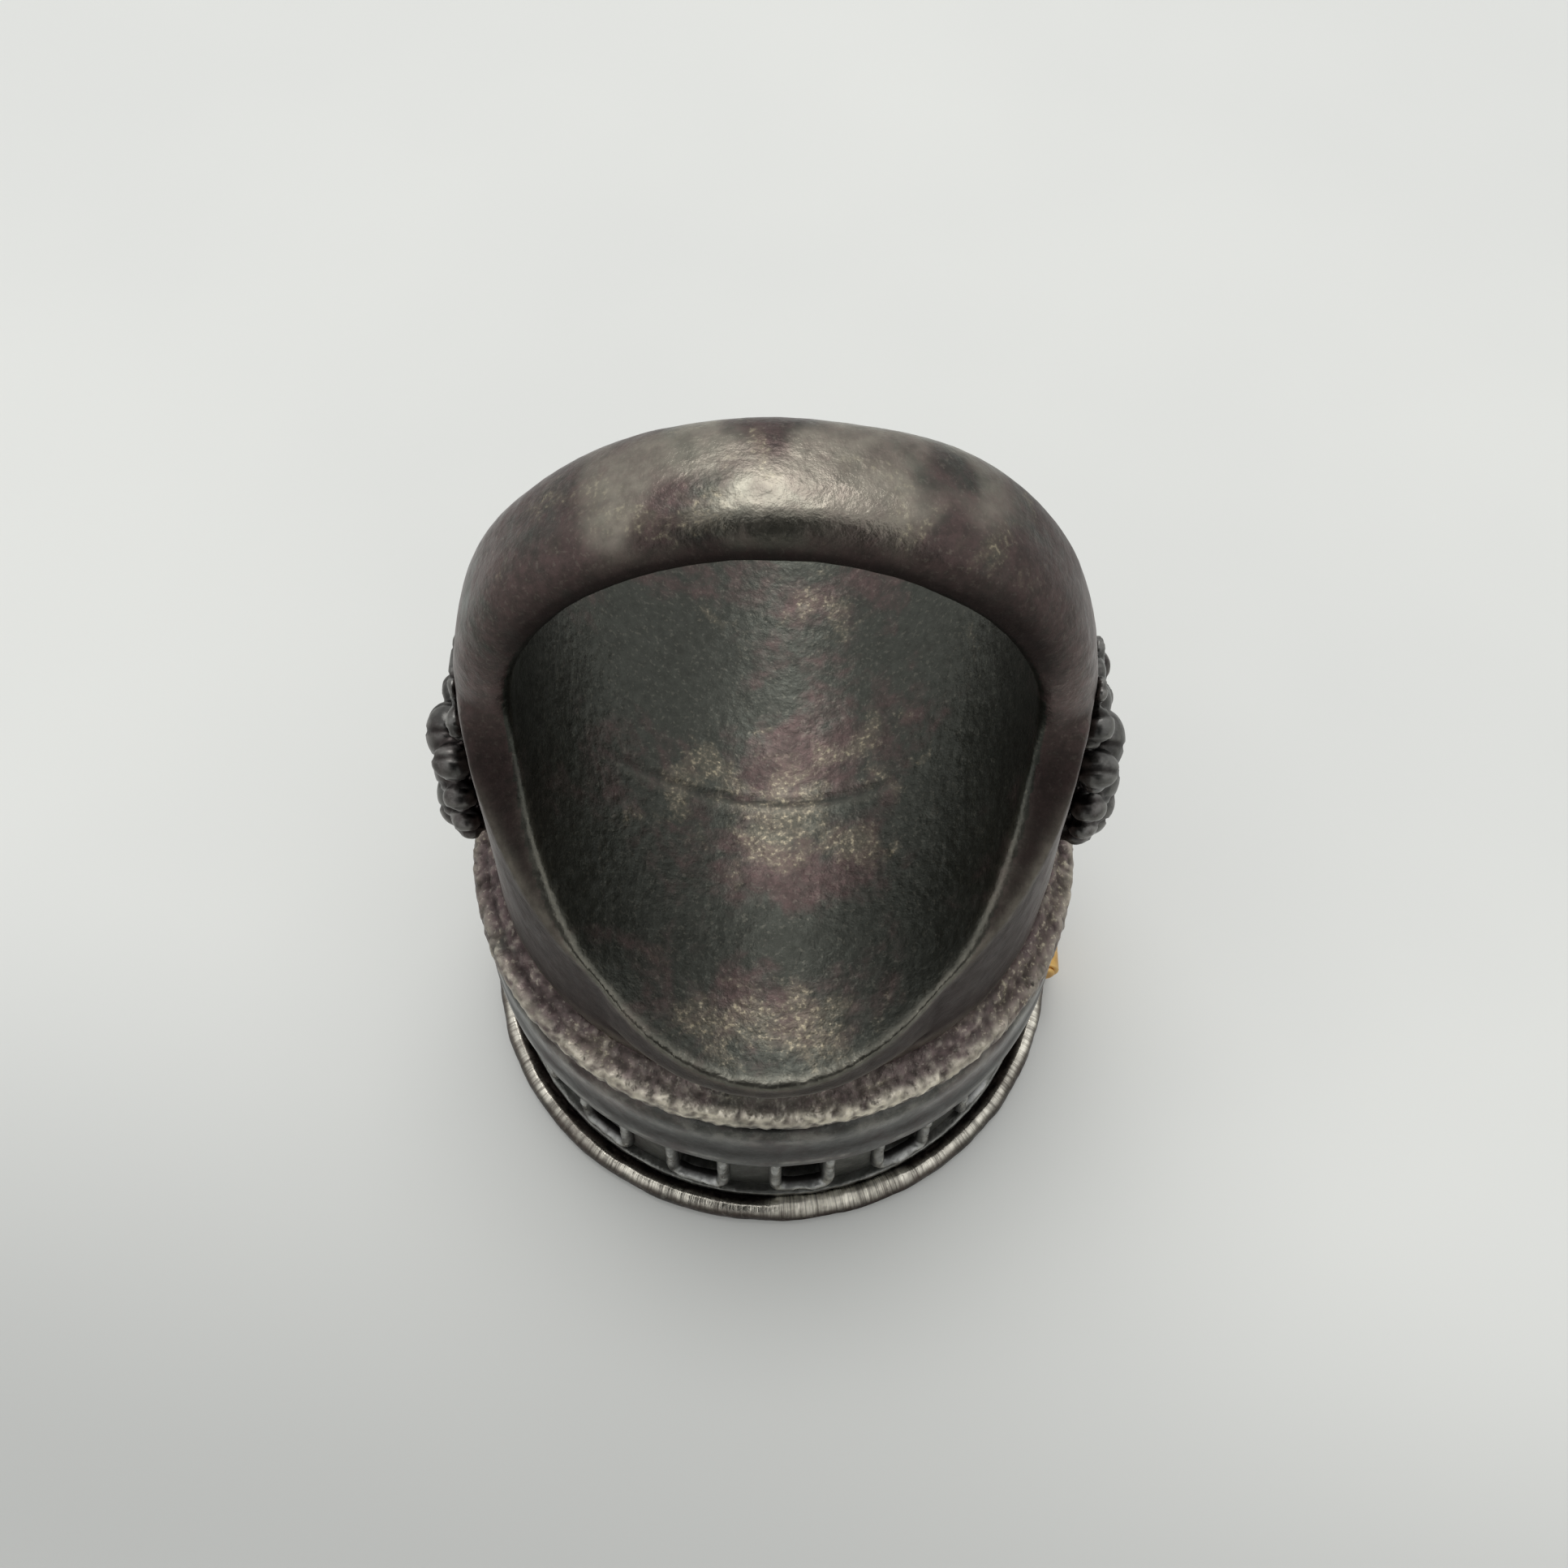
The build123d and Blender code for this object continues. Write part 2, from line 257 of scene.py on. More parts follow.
def cad_mesh(node):
    """A CAD node's mesh as a new watertight one, in millimetres."""
    bm = bmesh.new()
    bm.from_mesh(frame["nodes"][node].data)
    bmesh.ops.scale(bm, vec=(1 / MM,) * 3, verts=bm.verts)
    bmesh.ops.remove_doubles(bm, verts=bm.verts, dist=1e-4)
    mesh = bpy.data.meshes.new(node + "_work")
    bm.to_mesh(mesh)
    bm.free()
    return mesh


# --- Materials ----------------------------------------------------------------
class Nodes:
    """A short way to write a material's nodes."""

    def __init__(self, name):
        self.mat = bpy.data.materials.new(name)
        self.mat.use_nodes = True
        self.tree = self.mat.node_tree
        self.shader = self.tree.nodes["Principled BSDF"]
        self.place = self.add("ShaderNodeTexCoord").outputs["Object"]

    def add(self, kind, **settings):
        node = self.tree.nodes.new(kind)
        for key, value in settings.items():
            setattr(node, key, value)
        return node

    def put(self, socket, value):
        """Links value to the socket if it comes from a node, or else sets it."""
        if isinstance(value, bpy.types.NodeSocket):
            self.tree.links.new(value, socket)
        else:
            socket.default_value = value

    def attribute(self, name):
        return self.add("ShaderNodeAttribute", attribute_name=name).outputs["Fac"]

    def math(self, operation, a, b=0.0, clamp=False):
        node = self.add("ShaderNodeMath", operation=operation, use_clamp=clamp)
        self.put(node.inputs[0], a)
        self.put(node.inputs[1], b)
        return node.outputs[0]

    def noise(self, size, detail=4.0, roughness=0.55, place=None, distortion=0.0):
        """Noise whose largest features are about size millimetres across."""
        node = self.add("ShaderNodeTexNoise")
        self.put(node.inputs["Vector"], place or self.place)
        node.inputs["Scale"].default_value = 1 / (size * MM)
        node.inputs["Detail"].default_value = detail
        node.inputs["Roughness"].default_value = roughness
        node.inputs["Distortion"].default_value = distortion
        return node.outputs["Fac"]

    def moved(self, offset):
        """The place with an offset in millimetres, so that two noises don't match."""
        node = self.add("ShaderNodeMapping")
        self.put(node.inputs["Vector"], self.place)
        node.inputs["Location"].default_value = [v * MM for v in offset]
        return node.outputs[0]

    def ramp(self, value, low, high, out_low=0.0, out_high=1.0):
        node = self.add("ShaderNodeMapRange", interpolation_type="SMOOTHSTEP")
        self.put(node.inputs["Value"], value)
        for key, number in zip(("From Min", "From Max", "To Min", "To Max"), (low, high, out_low, out_high)):
            node.inputs[key].default_value = number
        return node.outputs[0]

    def blend(self, share, a, b):
        node = self.add("ShaderNodeMix", data_type="RGBA")
        self.put(node.inputs["Factor"], share)
        colours = [s for s in node.inputs if s.type == "RGBA"]
        for socket, value in zip(colours, (a, b)):
            self.put(socket, value if isinstance(value, bpy.types.NodeSocket) else (*value, 1.0))
        return [s for s in node.outputs if s.type == "RGBA"][0]

    def bump(self, height, distance, normal=None):
        node = self.add("ShaderNodeBump")
        node.inputs["Distance"].default_value = distance * MM
        self.put(node.inputs["Height"], height)
        if normal is not None:
            self.put(node.inputs["Normal"], normal)
        return node.outputs[0]


GRIME_AND_SHADE, GOLD, SPARK = (0.016, 0.0115, 0.0105), (0.22, 0.192, 0.145), (0.62, 0.53, 0.34)


def pewter(name, dark, stain, worn, gold=0.5, grain=0.012, grain_size=0.30, shine=0.36, worn_shine=0.24,
           speckle=0.5, stripes=0.0, patchy=0.75):
    """Antiqued pewter. dark is its oxidised colour, stain the purple-brown tarnish, worn the bright metal on
    rubbed edges and in painted highlights. gold and speckle are the shares of golden flecks and of bright grit.
    grain and grain_size are the depth and size of the sand-cast relief in millimetres. shine and worn_shine are
    the roughness of the dark and the rubbed metal. stripes is the depth of fine brushing across the edge of a
    round piece, and patchy how much of the wear and painted highlight comes in patches."""
    n = Nodes(name)
    wear_and_highlight, grime_and_shade, tint, warm = (n.attribute(a) for a in ("wear_and_highlight", "grime_and_shade", "tint", "warm"))
    fine = n.noise(0.20, 2.0, 0.6, n.moved((3, 5, 7)))
    middle = n.noise(1.1, 5.0, 0.62, n.moved((11, 2, 5)), 0.4)
    wide = n.noise(5.0, 4.0, 0.55, n.moved((2, 9, 4)), 0.6)
    cloud = n.math("ADD", n.math("MULTIPLY", wide, 0.65), n.math("MULTIPLY", middle, 0.35))
    cloud = n.math("ADD", cloud, n.math("MULTIPLY", n.math("SUBTRACT", tint, 0.5), 0.34))
    base = n.blend(n.ramp(cloud, 0.44, 0.60), dark, stain)
    tone = n.ramp(n.noise(0.5, 4.0, 0.7, n.moved((6, 1, 2))), 0.3, 0.7, 0.0, 0.55)
    base = n.blend(tone, base, [0.55 * c for c in dark])
    golden = n.noise(2.6, 4.0, 0.62, n.moved((21, 14, 3)), 0.5)
    golden = n.math("ADD", golden, n.math("MULTIPLY", n.math("SUBTRACT", warm, 0.5), 0.36))
    golden = n.ramp(golden, 0.50, 0.66)
    flecks = n.ramp(fine, 0.42, 0.66, 0.35, 1.0)
    gold_share = n.math("MULTIPLY", n.math("MULTIPLY", golden, flecks), gold, True)
    base = n.blend(gold_share, base, GOLD)
    sparks = n.math("MULTIPLY", n.math("MULTIPLY", golden, n.ramp(fine, 0.58, 0.70)), 0.38 * gold, True)
    base = n.blend(sparks, base, SPARK)
    grit = n.ramp(fine, 0.55, 0.72)
    base = n.blend(n.math("MULTIPLY", grit, 0.30 * speckle), base, worn)
    # darkening towards the darkest colour: patina in hollows, and painted shade where a piece asks for it
    base = n.blend(n.math("MULTIPLY", grime_and_shade, 0.8, True), base, GRIME_AND_SHADE)
    # the bright metal of rubbed edges, also laid on as painted highlights
    patch = n.ramp(n.noise(0.7, 4.0, 0.65, n.moved((1, 6, 8))), 0.34, 0.62)
    rub_and_highlight = n.math("MULTIPLY", wear_and_highlight, n.math("ADD", n.math("MULTIPLY", patch, patchy), 1 - patchy), True)
    if stripes:
        xyz = n.add("ShaderNodeSeparateXYZ")
        n.put(xyz.inputs[0], n.place)
        turn = n.math("ARCTAN2", xyz.outputs["Y"], xyz.outputs["X"])
        join = n.add("ShaderNodeCombineXYZ")
        n.put(join.inputs["X"], n.math("MULTIPLY", turn, RIM_R * MM))
        n.put(join.inputs["Y"], n.math("MULTIPLY", xyz.outputs["Z"], 0.06))
        brushed = n.noise(0.16, 3.0, 0.7, join.outputs[0])
        rub_and_highlight = n.math("MULTIPLY", rub_and_highlight, n.ramp(brushed, 0.32, 0.60, 0.35, 1.2), True)
    n.put(n.shader.inputs["Base Color"], n.blend(rub_and_highlight, base, worn))
    n.shader.inputs["Metallic"].default_value = 1.0
    gloss = n.ramp(middle, 0.3, 0.7, shine - 0.04, shine + 0.08)
    gloss = n.math("ADD", gloss, n.math("MULTIPLY", grime_and_shade, 0.25))
    gloss = n.math("SUBTRACT", gloss, n.math("MULTIPLY", rub_and_highlight, shine - worn_shine), True)
    if stripes:
        gloss = n.math("ADD", gloss, n.math("MULTIPLY", warm, 0.55))
    n.put(n.shader.inputs["Roughness"], gloss)
    normal = n.bump(n.noise(grain_size, 4.0, 0.6, n.moved((4, 4, 9))), grain)
    if stripes:
        normal = n.bump(brushed, stripes, normal)
    n.put(n.shader.inputs["Normal"], normal)
    return n.mat


def brass(name):
    """Yellow brass, darker in its hollows and brighter where it is rubbed."""
    n = Nodes(name)
    wear_and_highlight, grime_and_shade = n.attribute("wear_and_highlight"), n.attribute("grime_and_shade")
    tone = n.ramp(n.noise(0.6, 4.0), 0.35, 0.65)
    colour = n.blend(tone, (0.50, 0.27, 0.07), (0.68, 0.42, 0.14))
    colour = n.blend(n.math("MULTIPLY", grime_and_shade, 0.8, True), colour, (0.06, 0.035, 0.015))
    colour = n.blend(n.math("MULTIPLY", wear_and_highlight, 0.8, True), colour, (0.86, 0.62, 0.28))
    n.put(n.shader.inputs["Base Color"], colour)
    n.shader.inputs["Metallic"].default_value = 1.0
    n.put(n.shader.inputs["Roughness"], n.ramp(n.noise(0.3, 4.0), 0.3, 0.7, 0.26, 0.42))
    n.put(n.shader.inputs["Normal"], n.bump(n.noise(0.15, 3.0), 0.006))
    return n.mat


DARK, STAIN = (0.074, 0.077, 0.066), (0.122, 0.086, 0.081)
BAND = pewter("band_pewter", DARK, STAIN, (0.43, 0.40, 0.325), gold=0.75, grain=0.04, grain_size=0.34, shine=0.34,
              speckle=0.4, patchy=0.35)
ORNAMENT = pewter("ornament_pewter", (0.075, 0.074, 0.070), (0.075, 0.060, 0.058), (0.50, 0.49, 0.46),
                  gold=0.1, grain=0.012, shine=0.27, speckle=0.15)
HEAD = pewter("head_pewter", (0.085, 0.085, 0.075), (0.150, 0.108, 0.108), (0.86, 0.79, 0.65),
              gold=0.8, grain=0.065, grain_size=0.30, shine=0.34, worn_shine=0.32, speckle=0.7, patchy=0.45)
TORUS = pewter("torus_pewter", (0.078, 0.078, 0.072), (0.095, 0.072, 0.068), (0.50, 0.48, 0.43),
               gold=0.1, grain=0.012, shine=0.30, speckle=0.25)
WALL = pewter("wall_pewter", (0.150, 0.152, 0.140), (0.110, 0.100, 0.094), (0.40, 0.40, 0.37),
              gold=0.2, grain=0.035, shine=0.42, speckle=0.4)
FRAME = pewter("frame_pewter", (0.17, 0.172, 0.165), (0.13, 0.12, 0.115), (0.50, 0.50, 0.48),
               gold=0.0, grain=0.035, shine=0.42, speckle=0.5)
RIM = pewter("rim_pewter", (0.060, 0.057, 0.048), (0.085, 0.064, 0.056), (1.0, 0.95, 0.82),
             gold=0.3, grain=0.02, shine=0.30, worn_shine=0.14, speckle=0.3, stripes=0.035, patchy=0.35)
LINING = pewter("lining_pewter", (0.030, 0.030, 0.030), (0.035, 0.030, 0.029), (0.20, 0.20, 0.19),
                gold=0.1, grain=0.02, shine=0.5, speckle=0.3)
BRASS = brass("hinge_brass")


# --- Shank --------------------------------------------------------------------
def shank_relief(points, normals):
    """The arch is worn on top; painted shade darkens its underside and inner face, its right and the shank's side
    faces, and the front of the foot is lightened as painted light. The finger face has a shallow crease, purple
    patches and golden flecks down its middle."""
    x, y, z = points.T
    off_axis = np.hypot(x - BORE_X, z - BORE_Z)
    inside = smooth_step(BORE_R + 0.5, BORE_R + 0.1, off_axis)
    low_inside = inside * smooth_step(26, 23, z)
    lift = 0.05 * rough(points, 5.0, 2, 1) + 0.012 * rough(points, 0.7, 3, 2)
    lift += low_inside * 0.016 * rough(points, 0.28, 2, 4)
    # a shallow crease across the finger face, and a worn groove across the arch
    crease_y = -0.45 + 0.014 * x * x + 0.12 * rough(points * [1, 0, 0], 2.0, 2, 3)
    near = blot(y, crease_y - 0.05, 0.16) - 0.5 * blot(y, crease_y - 0.5, 0.35)
    lift -= 0.07 * near * smooth_step(7.0, 4.5, np.abs(x + 0.8)) * low_inside
    lift -= 0.035 * blot(y, -1.35, 0.30) * smooth_step(5.0, 3.0, np.abs(x + 0.4)) * smooth_step(33, 35, z)
    # the arch's shoulders stand a little proud
    outer = smooth_step(BORE_R + 0.6, BORE_R + 1.6, off_axis) * smooth_step(29.5, 33.5, z)
    lift += outer * (0.06 + 0.28 * blot(x, 7.0, 3.2) + 0.05 * blot(x, -5.0, 2.0))
    # painted shade under and inside the arch, on the side faces and on the arch's right, a painted lightening of the
    # foot's front, and what is worn
    inward = -((x - BORE_X) * normals[:, 0] + (z - BORE_Z) * normals[:, 2]) / off_axis
    under = smooth_step(-0.85, 0.0, inward) * smooth_step(28.5, 33.0, z) * smooth_step(0.5, -1.0, y)
    under = np.maximum(under, 0.5 * smooth_step(30, 34, z) * inside)
    foot = smooth_step(15.3, 14.6, z) * smooth_step(-8.0, -10.5, y)
    arch = smooth_step(30.0, 36.5, z) * smooth_step(0.2, 0.9, normals[:, 2]) * (1 - inside)
    patches = smooth_step(0.0, 0.5, rough(points, 3.0, 2, 5) + 0.25)
    worn = 0.52 * arch * patches * smooth_step(8.5, 5.5, np.abs(x - 0.4)) + 0.20 * foot
    kept = 0.55 * smooth_step(25.5, 22.5, z)
    side = smooth_step(0.25, 0.6, np.abs(normals[:, 1])) * smooth_step(29, 24, z) * (1 - inside)
    # patches down the middle of the finger face
    middle = blot(x, 0.3, 5.2)
    zones = blot(y, 1.8, 2.6) + 0.9 * blot(y, -4.4, 1.6) + 0.9 * blot(y, -10.0, 2.4) + 0.7 * blot(y, 10, 2)
    tint = np.where(inside > 0.5, 0.20 + 0.62 * middle * zones, 0.92 + 0.08 * side)
    tint -= 0.26 * arch
    glow = 0.70 * blot(y, -2.2, 2.0) + 0.95 * blot(y, -11.0, 2.0)
    glow += 0.55 * blot(y, 1.2, 2.2) + 0.4 * blot(y, 9.5, 1.8)
    warm = low_inside * (0.15 + middle * glow) + 0.50 * arch
    # painted shade, with less of it at the foot's front as painted light
    shade = 0.9 * side + 1.0 * under + 0.35 * smooth_step(5, 9, x) * smooth_step(29, 33, z) - 0.7 * foot
    return lift, kept, worn, shade, np.clip(tint, 0, 1), np.clip(warm, 0, 1)


def arch_softness(points):
    """The arch is much rounded, and the saddle a little."""
    return np.maximum(smooth_step(25.0, 29.5, points[:, 2]), 0.18)


cast("shank", cad_mesh("shank"), 0.16, 10, BAND, shank_relief, spread=12, soft=arch_softness)

# --- Cornice ------------------------------------------------------------------
low, high = node_box("cornice")
crest_r, foot_z, cornice_z = high[0], high[2], low[2]


def cornice_relief(angle, r, z, points):
    """A sand-grained ledge that slopes up from a beaded crest, with a groove between them."""
    top = smooth_step(cornice_z + 0.4, cornice_z + 0.8, z)
    flat_points = points * [1, 1, 0]
    ridge_r = crest_r - 0.20 + 0.06 * rough(flat_points, 2.2, 2, 16)
    ridge = blot(r, ridge_r, 0.17) * smooth_step(foot_z - 1.75, foot_z - 1.35, z)
    uneven = smooth_step(-0.4, 0.3, rough(flat_points, 3.5, 2, 11))
    beads = rough(points, 0.42, 2, 13)
    lumps = ridge * (0.06 + 0.17 * beads + 0.05 * uneven)
    ledge = smooth_step(11.9, 12.3, r) * top
    grains = 0.075 * rough(points, 0.36, 2, 14) + 0.03 * rough(points, 1.4, 2, 15)
    groove = blot(r, ridge_r - 0.42, 0.13) * ledge
    lift = lumps + ledge * grains * (1 - 0.5 * ridge) - 0.06 * groove
    # wear made stronger towards the front, where it is partly a painted highlight
    front = blot(angle, FRONT, 0.55)
    lip = smooth_step(crest_r - 0.30, crest_r - 0.05, r) * blot(z, foot_z - 1.30, 0.22)
    bead_tops = smooth_step(-0.06, 0.12, 0.06 + 0.17 * beads)
    wear_and_highlight = (ridge + 0.7 * lip) * bead_tops * (0.60 + 0.7 * uneven) * (0.36 + 1.0 * front)
    wear_and_highlight += 0.15 * ledge * smooth_step(0.012, 0.055, grains) * (0.30 + uneven) + 0.10 * ledge * front
    grime_and_shade = groove * 0.35 + (ledge + ridge) * smooth_step(0.01, -0.05, grains) * 0.5
    # painted shade where the ledge meets the saddle, under the saddle's lip
    grime_and_shade += 0.5 * blot(r, LEDGE_R, 0.12)
    # painted shade on the outer side below the crest
    side = smooth_step(crest_r - 0.1, crest_r, r) * smooth_step(foot_z - 1.2, foot_z - 1.5, z)
    tint = 0.85 - 0.5 * blot(angle, FRONT, 0.25)
    return lift, np.clip(wear_and_highlight, 0, 1), np.clip(grime_and_shade + 0.4 * side, 0, 1), tint, 0.55


lathe("cornice",
      [(0, cornice_z), (8.0, cornice_z), (12.6, cornice_z), (12.65, foot_z - 1.85), (crest_r, foot_z - 1.8),
       (crest_r, foot_z - 1.1), (LEDGE_R, foot_z), (8.0, foot_z), (0, foot_z)],
      0.11, 760, HEAD, cornice_relief, rounding=3)

# --- Torus --------------------------------------------------------------------
low, high = node_box("torus_moulding")
torus_z, torus_top, torus_r = low[2], high[2], high[0]


def torus_relief(angle, r, z, points):
    """Nearly smooth, with patchy painted highlights on its lower edge and shoulder and painted shade between."""
    lift = 0.025 * rough(points, 3.0, 2, 21) + 0.008 * rough(points, 0.6, 2, 22)
    outside = smooth_step(12.6, 13.0, r)
    # painted highlights on the lower edge and the shoulder, painted shade on the outer face between them
    lower_edge = blot(z, torus_z + 1.25, 0.16) * outside
    shoulder = smooth_step(3.1, 3.8, z - torus_z) * smooth_step(torus_top - 0.2, torus_top - 0.6, z) * outside
    wear_and_highlight = (0.50 * lower_edge + 0.30 * shoulder) * smooth_step(-0.6, 0.3, rough(points, 1.2, 3, 23))
    return lift, wear_and_highlight, 0.65 * blot(z, torus_z + 2.3, 0.75) * outside, 0.45, 0.2


ROUND = 0.9                              # radius of the moulding's rounded edges
turn = [t * pi / 16 for t in range(9)]
lower = [(torus_r - ROUND + ROUND * sin(t), torus_z + ROUND - ROUND * cos(t)) for t in turn]
upper = [(torus_r - ROUND + ROUND * cos(t), torus_top - ROUND + ROUND * sin(t)) for t in turn]
torus_inner = node_box("compartment_cup")[1][0] + 0.05
lathe("torus_moulding", [(torus_inner, torus_z), *lower, *upper, (torus_inner, torus_top)], 0.14, 560, TORUS,
      torus_relief)

# --- Gallery wall, frames and plinth --------------------------------------------


def plain_relief(amount, size, seed):
    """The relief of a casting with no features of its own."""
    def relief(points, normals):
        return amount * rough(points, size, 3, seed), 1, 0, 0, 0.5, 0.5
    return relief


cast("gallery_wall", cad_mesh("gallery_wall"), 0.13, 3, WALL, plain_relief(0.03, 0.9, 31), spread=6)
cast("gallery_plinth", cad_mesh("gallery_plinth"), 0.10, 2, WALL, plain_relief(0.03, 0.7, 32), spread=6, gain=1.5)

low, high = node_box("window_frames")
frame_low, frame_high = low[2], high[2]
wall_r = node_box("gallery_wall")[1][0]
POST, SILL, OPEN_HALF, CORNER = 0.6, 0.45, 0.925, 0.5
BAR_SIDES, BAR_HALF, BAR_STAND = 13, 0.30, 0.40         # a frame's bar: its sides, half width and height
WINDOWS, FIRST_WINDOW, HINGE_HALF = 16, -82.5, 11       # places round the wall, and angles in degrees


def window_angles():
    """Window places round the wall in degrees, with none behind the hinge."""
    places = [(FIRST_WINDOW + 360 / WINDOWS * k + 180) % 360 - 180 for k in range(WINDOWS)]
    return [a for a in places if abs(a) > HINGE_HALF]


def frame_path(half, foot, top):
    """The U's centre line as (sideways, height) points."""
    line = [(-half, top - 0.35 * k) for k in range(int((top - foot - CORNER) / 0.35) + 1)]
    turn = [(t * pi / 12) for t in range(7)]
    line += [(-half + CORNER * (1 - cos(t)), foot + CORNER * (1 - sin(t))) for t in turn]
    count = 6
    line += [(-half + CORNER + (2 * half - 2 * CORNER) * k / count, foot) for k in range(1, count)]
    return line + [(-u, v) for u, v in reversed(line[: len(line) - count + 1])]


def sweep_frames():
    """A round bar swept along each window's U, and worn where it stands out."""
    points, faces = [], []
    outline = frame_path(OPEN_HALF + POST / 2, frame_low + SILL / 2, frame_high + 0.1)
    path = soften(resample(outline, 0.14 * COARSE, False), 3, False)
    for a in window_angles():
        ahead = np.vstack([path[1:], path[-1:]]) - np.vstack([path[:1], path[:-1]])
        ahead /= np.hypot(ahead[:, 0], ahead[:, 1])[:, None]
        side = np.stack([-ahead[:, 1], ahead[:, 0]], 1)
        start = len(points)
        for (u, v), (su, sv) in zip(path, side):
            for k in range(BAR_SIDES):
                t = 2 * pi * k / BAR_SIDES
                across, out = BAR_HALF * cos(t), BAR_STAND * sin(t)
                radius = wall_r + 0.02 + out
                angle = radians(a) + (u + su * across) / wall_r
                points.append((radius * cos(angle), radius * sin(angle), max(v + sv * across, frame_low)))
        for i in range(len(path) - 1):
            for k in range(BAR_SIDES):
                p, q = start + i * BAR_SIDES + k, start + i * BAR_SIDES + (k + 1) % BAR_SIDES
                faces.append([p, p + BAR_SIDES, q + BAR_SIDES, q])
        faces.append([start + k for k in range(BAR_SIDES)])
        last = start + (len(path) - 1) * BAR_SIDES
        faces.append([last + k for k in reversed(range(BAR_SIDES))])
    points = np.array(points)
    outward = points * [1, 1, 0]
    outward /= np.linalg.norm(outward, axis=1)[:, None]
    stand = np.linalg.norm(points[:, :2], axis=1) - wall_r
    lift = 0.10 * rough(points, 0.9, 3, 33) * smooth_step(0.05, 0.3, stand)
    points = points + outward * lift[:, None]
    wear_and_highlight = smooth_step(0.10, 0.38, stand + lift)
    grime_and_shade = smooth_step(0.12, 0.0, stand)
    return finish_piece("window_frames", points, faces, FRAME, wear_and_highlight, grime_and_shade)


sweep_frames()

# --- Compartment cup and lid ----------------------------------------------------
low, high = node_box("compartment_cup")
cup_r = high[0]


def faint(amount, size, seed):
    """The relief of a turned piece with no features of its own."""
    def relief(angle, r, z, points):
        return amount * rough(points, size, 3, seed), 0, 0, 0.5, 0.4
    return relief


lathe("compartment_cup",
      [(0, high[2] - 1.6), (cup_r - 0.7, high[2] - 1.6), (cup_r - 0.7, low[2]), (cup_r, low[2]), (cup_r, high[2]),
       (0, high[2])],
      0.25, 300, LINING, faint(0.02, 1.2, 41), rounding=1)

low, high = node_box("lid_plate")
lathe("lid_plate", [(0, low[2]), (high[0], low[2]), (high[0], high[2]), (0, high[2])],
      0.16, 420, HEAD, faint(0.03, 0.9, 42), rounding=1)


COARSE_ANGLE = radians(285)              # the rim's coarse bright patch, just right of the front; its extra brightness is partly a painted highlight
RIM_WIDTH = 1.05


def rim_relief(angle, r, z, points):
    """A bright ridge round a pitted dark ledge, darker on its lower outer side, with one coarse patch where the
    ridge widens inwards, its brightness partly a painted highlight.
    """
    top = smooth_step(0.75, 1.1, z)
    lumpy = rough(points, 2.4, 3, 44)
    coarse = smooth_step(0.32, 0.14, np.abs(angle - COARSE_ANGLE))
    lift = 0.05 * rough(points, 1.6, 3, 43) + top * 0.05 * lumpy + top * coarse * 0.06 * rough(points, 0.45, 2, 46)
    lift += 0.12 * coarse * top * smooth_step(13.45, 12.90, r) * smooth_step(12.65, 12.80, r)
    pits = smooth_step(13.05, 12.8, r) * top
    lift -= pits * 0.06 * smooth_step(-0.1, 0.5, rough(points, 0.35, 2, 45))
    # the coarse patch's ridge is wider and brighter: wear, and partly a painted highlight
    bright_r = 13.30 - 0.28 * coarse
    wear_and_highlight = blot(r, bright_r, 0.17 + 0.30 * coarse) * top * (0.78 + 0.6 * lumpy + 0.8 * coarse)
    # dark pits, and darker on the lower outer side
    grime_and_shade = pits * 0.95 * (1 - coarse) + 0.65 * smooth_step(1.0, 0.5, z) * smooth_step(13.2, 13.4, r)
    return lift, np.clip(wear_and_highlight, 0, 1), np.clip(grime_and_shade, 0, 1), 0.8, 0.5 * coarse


low, high = node_box("lid_rim")
rim_r, rim_top = high[0], high[2]
outer = [(rim_r - RIM_WIDTH / 2 * (1 - sin(t * pi / 10)), rim_top / 2 * (1 - cos(t * pi / 10))) for t in range(11)]
lathe("lid_rim", [(rim_r - RIM_WIDTH, 0), *outer, (rim_r - RIM_WIDTH, rim_top - 0.2)],
      0.08, 860, RIM, rim_relief, rounding=1)

low, high = node_box("lid_boss")
boss_r = high[0]


def boss_relief(angle, r, z, points):
    """Plain concentric rings on the lid's front."""
    face = smooth_step(high[2], low[2] + 0.1, z)
    rings = 0.05 * np.cos(r * 2 * pi / 1.6) * smooth_step(0.6, 1.2, r)
    lift = 0.02 * rough(points, 0.8, 3, 47) - face * (0.06 + rings)
    return lift, 0.8 * face * smooth_step(0.0, -0.045, rings), 0, 0.6, 0.4


lathe("lid_boss", [(0, low[2]), (boss_r - 0.12, low[2]), (boss_r, low[2] + 0.12), (boss_r, high[2]), (0, high[2])],
      0.14, 360, HEAD, boss_relief, rounding=1)
cast("lid_collar", cad_mesh("lid_collar"), 0.13, 2, LINING, plain_relief(0.02, 1.0, 48), spread=5)

# --- Hinge ----------------------------------------------------------------------
for node in ("hinge_knuckle_lid", "hinge_knuckles_head", "hinge_pin"):
    cast(node, cad_mesh(node), 0.05, 2, BRASS, plain_relief(0.008, 0.5, 51), spread=6, gain=3.0)

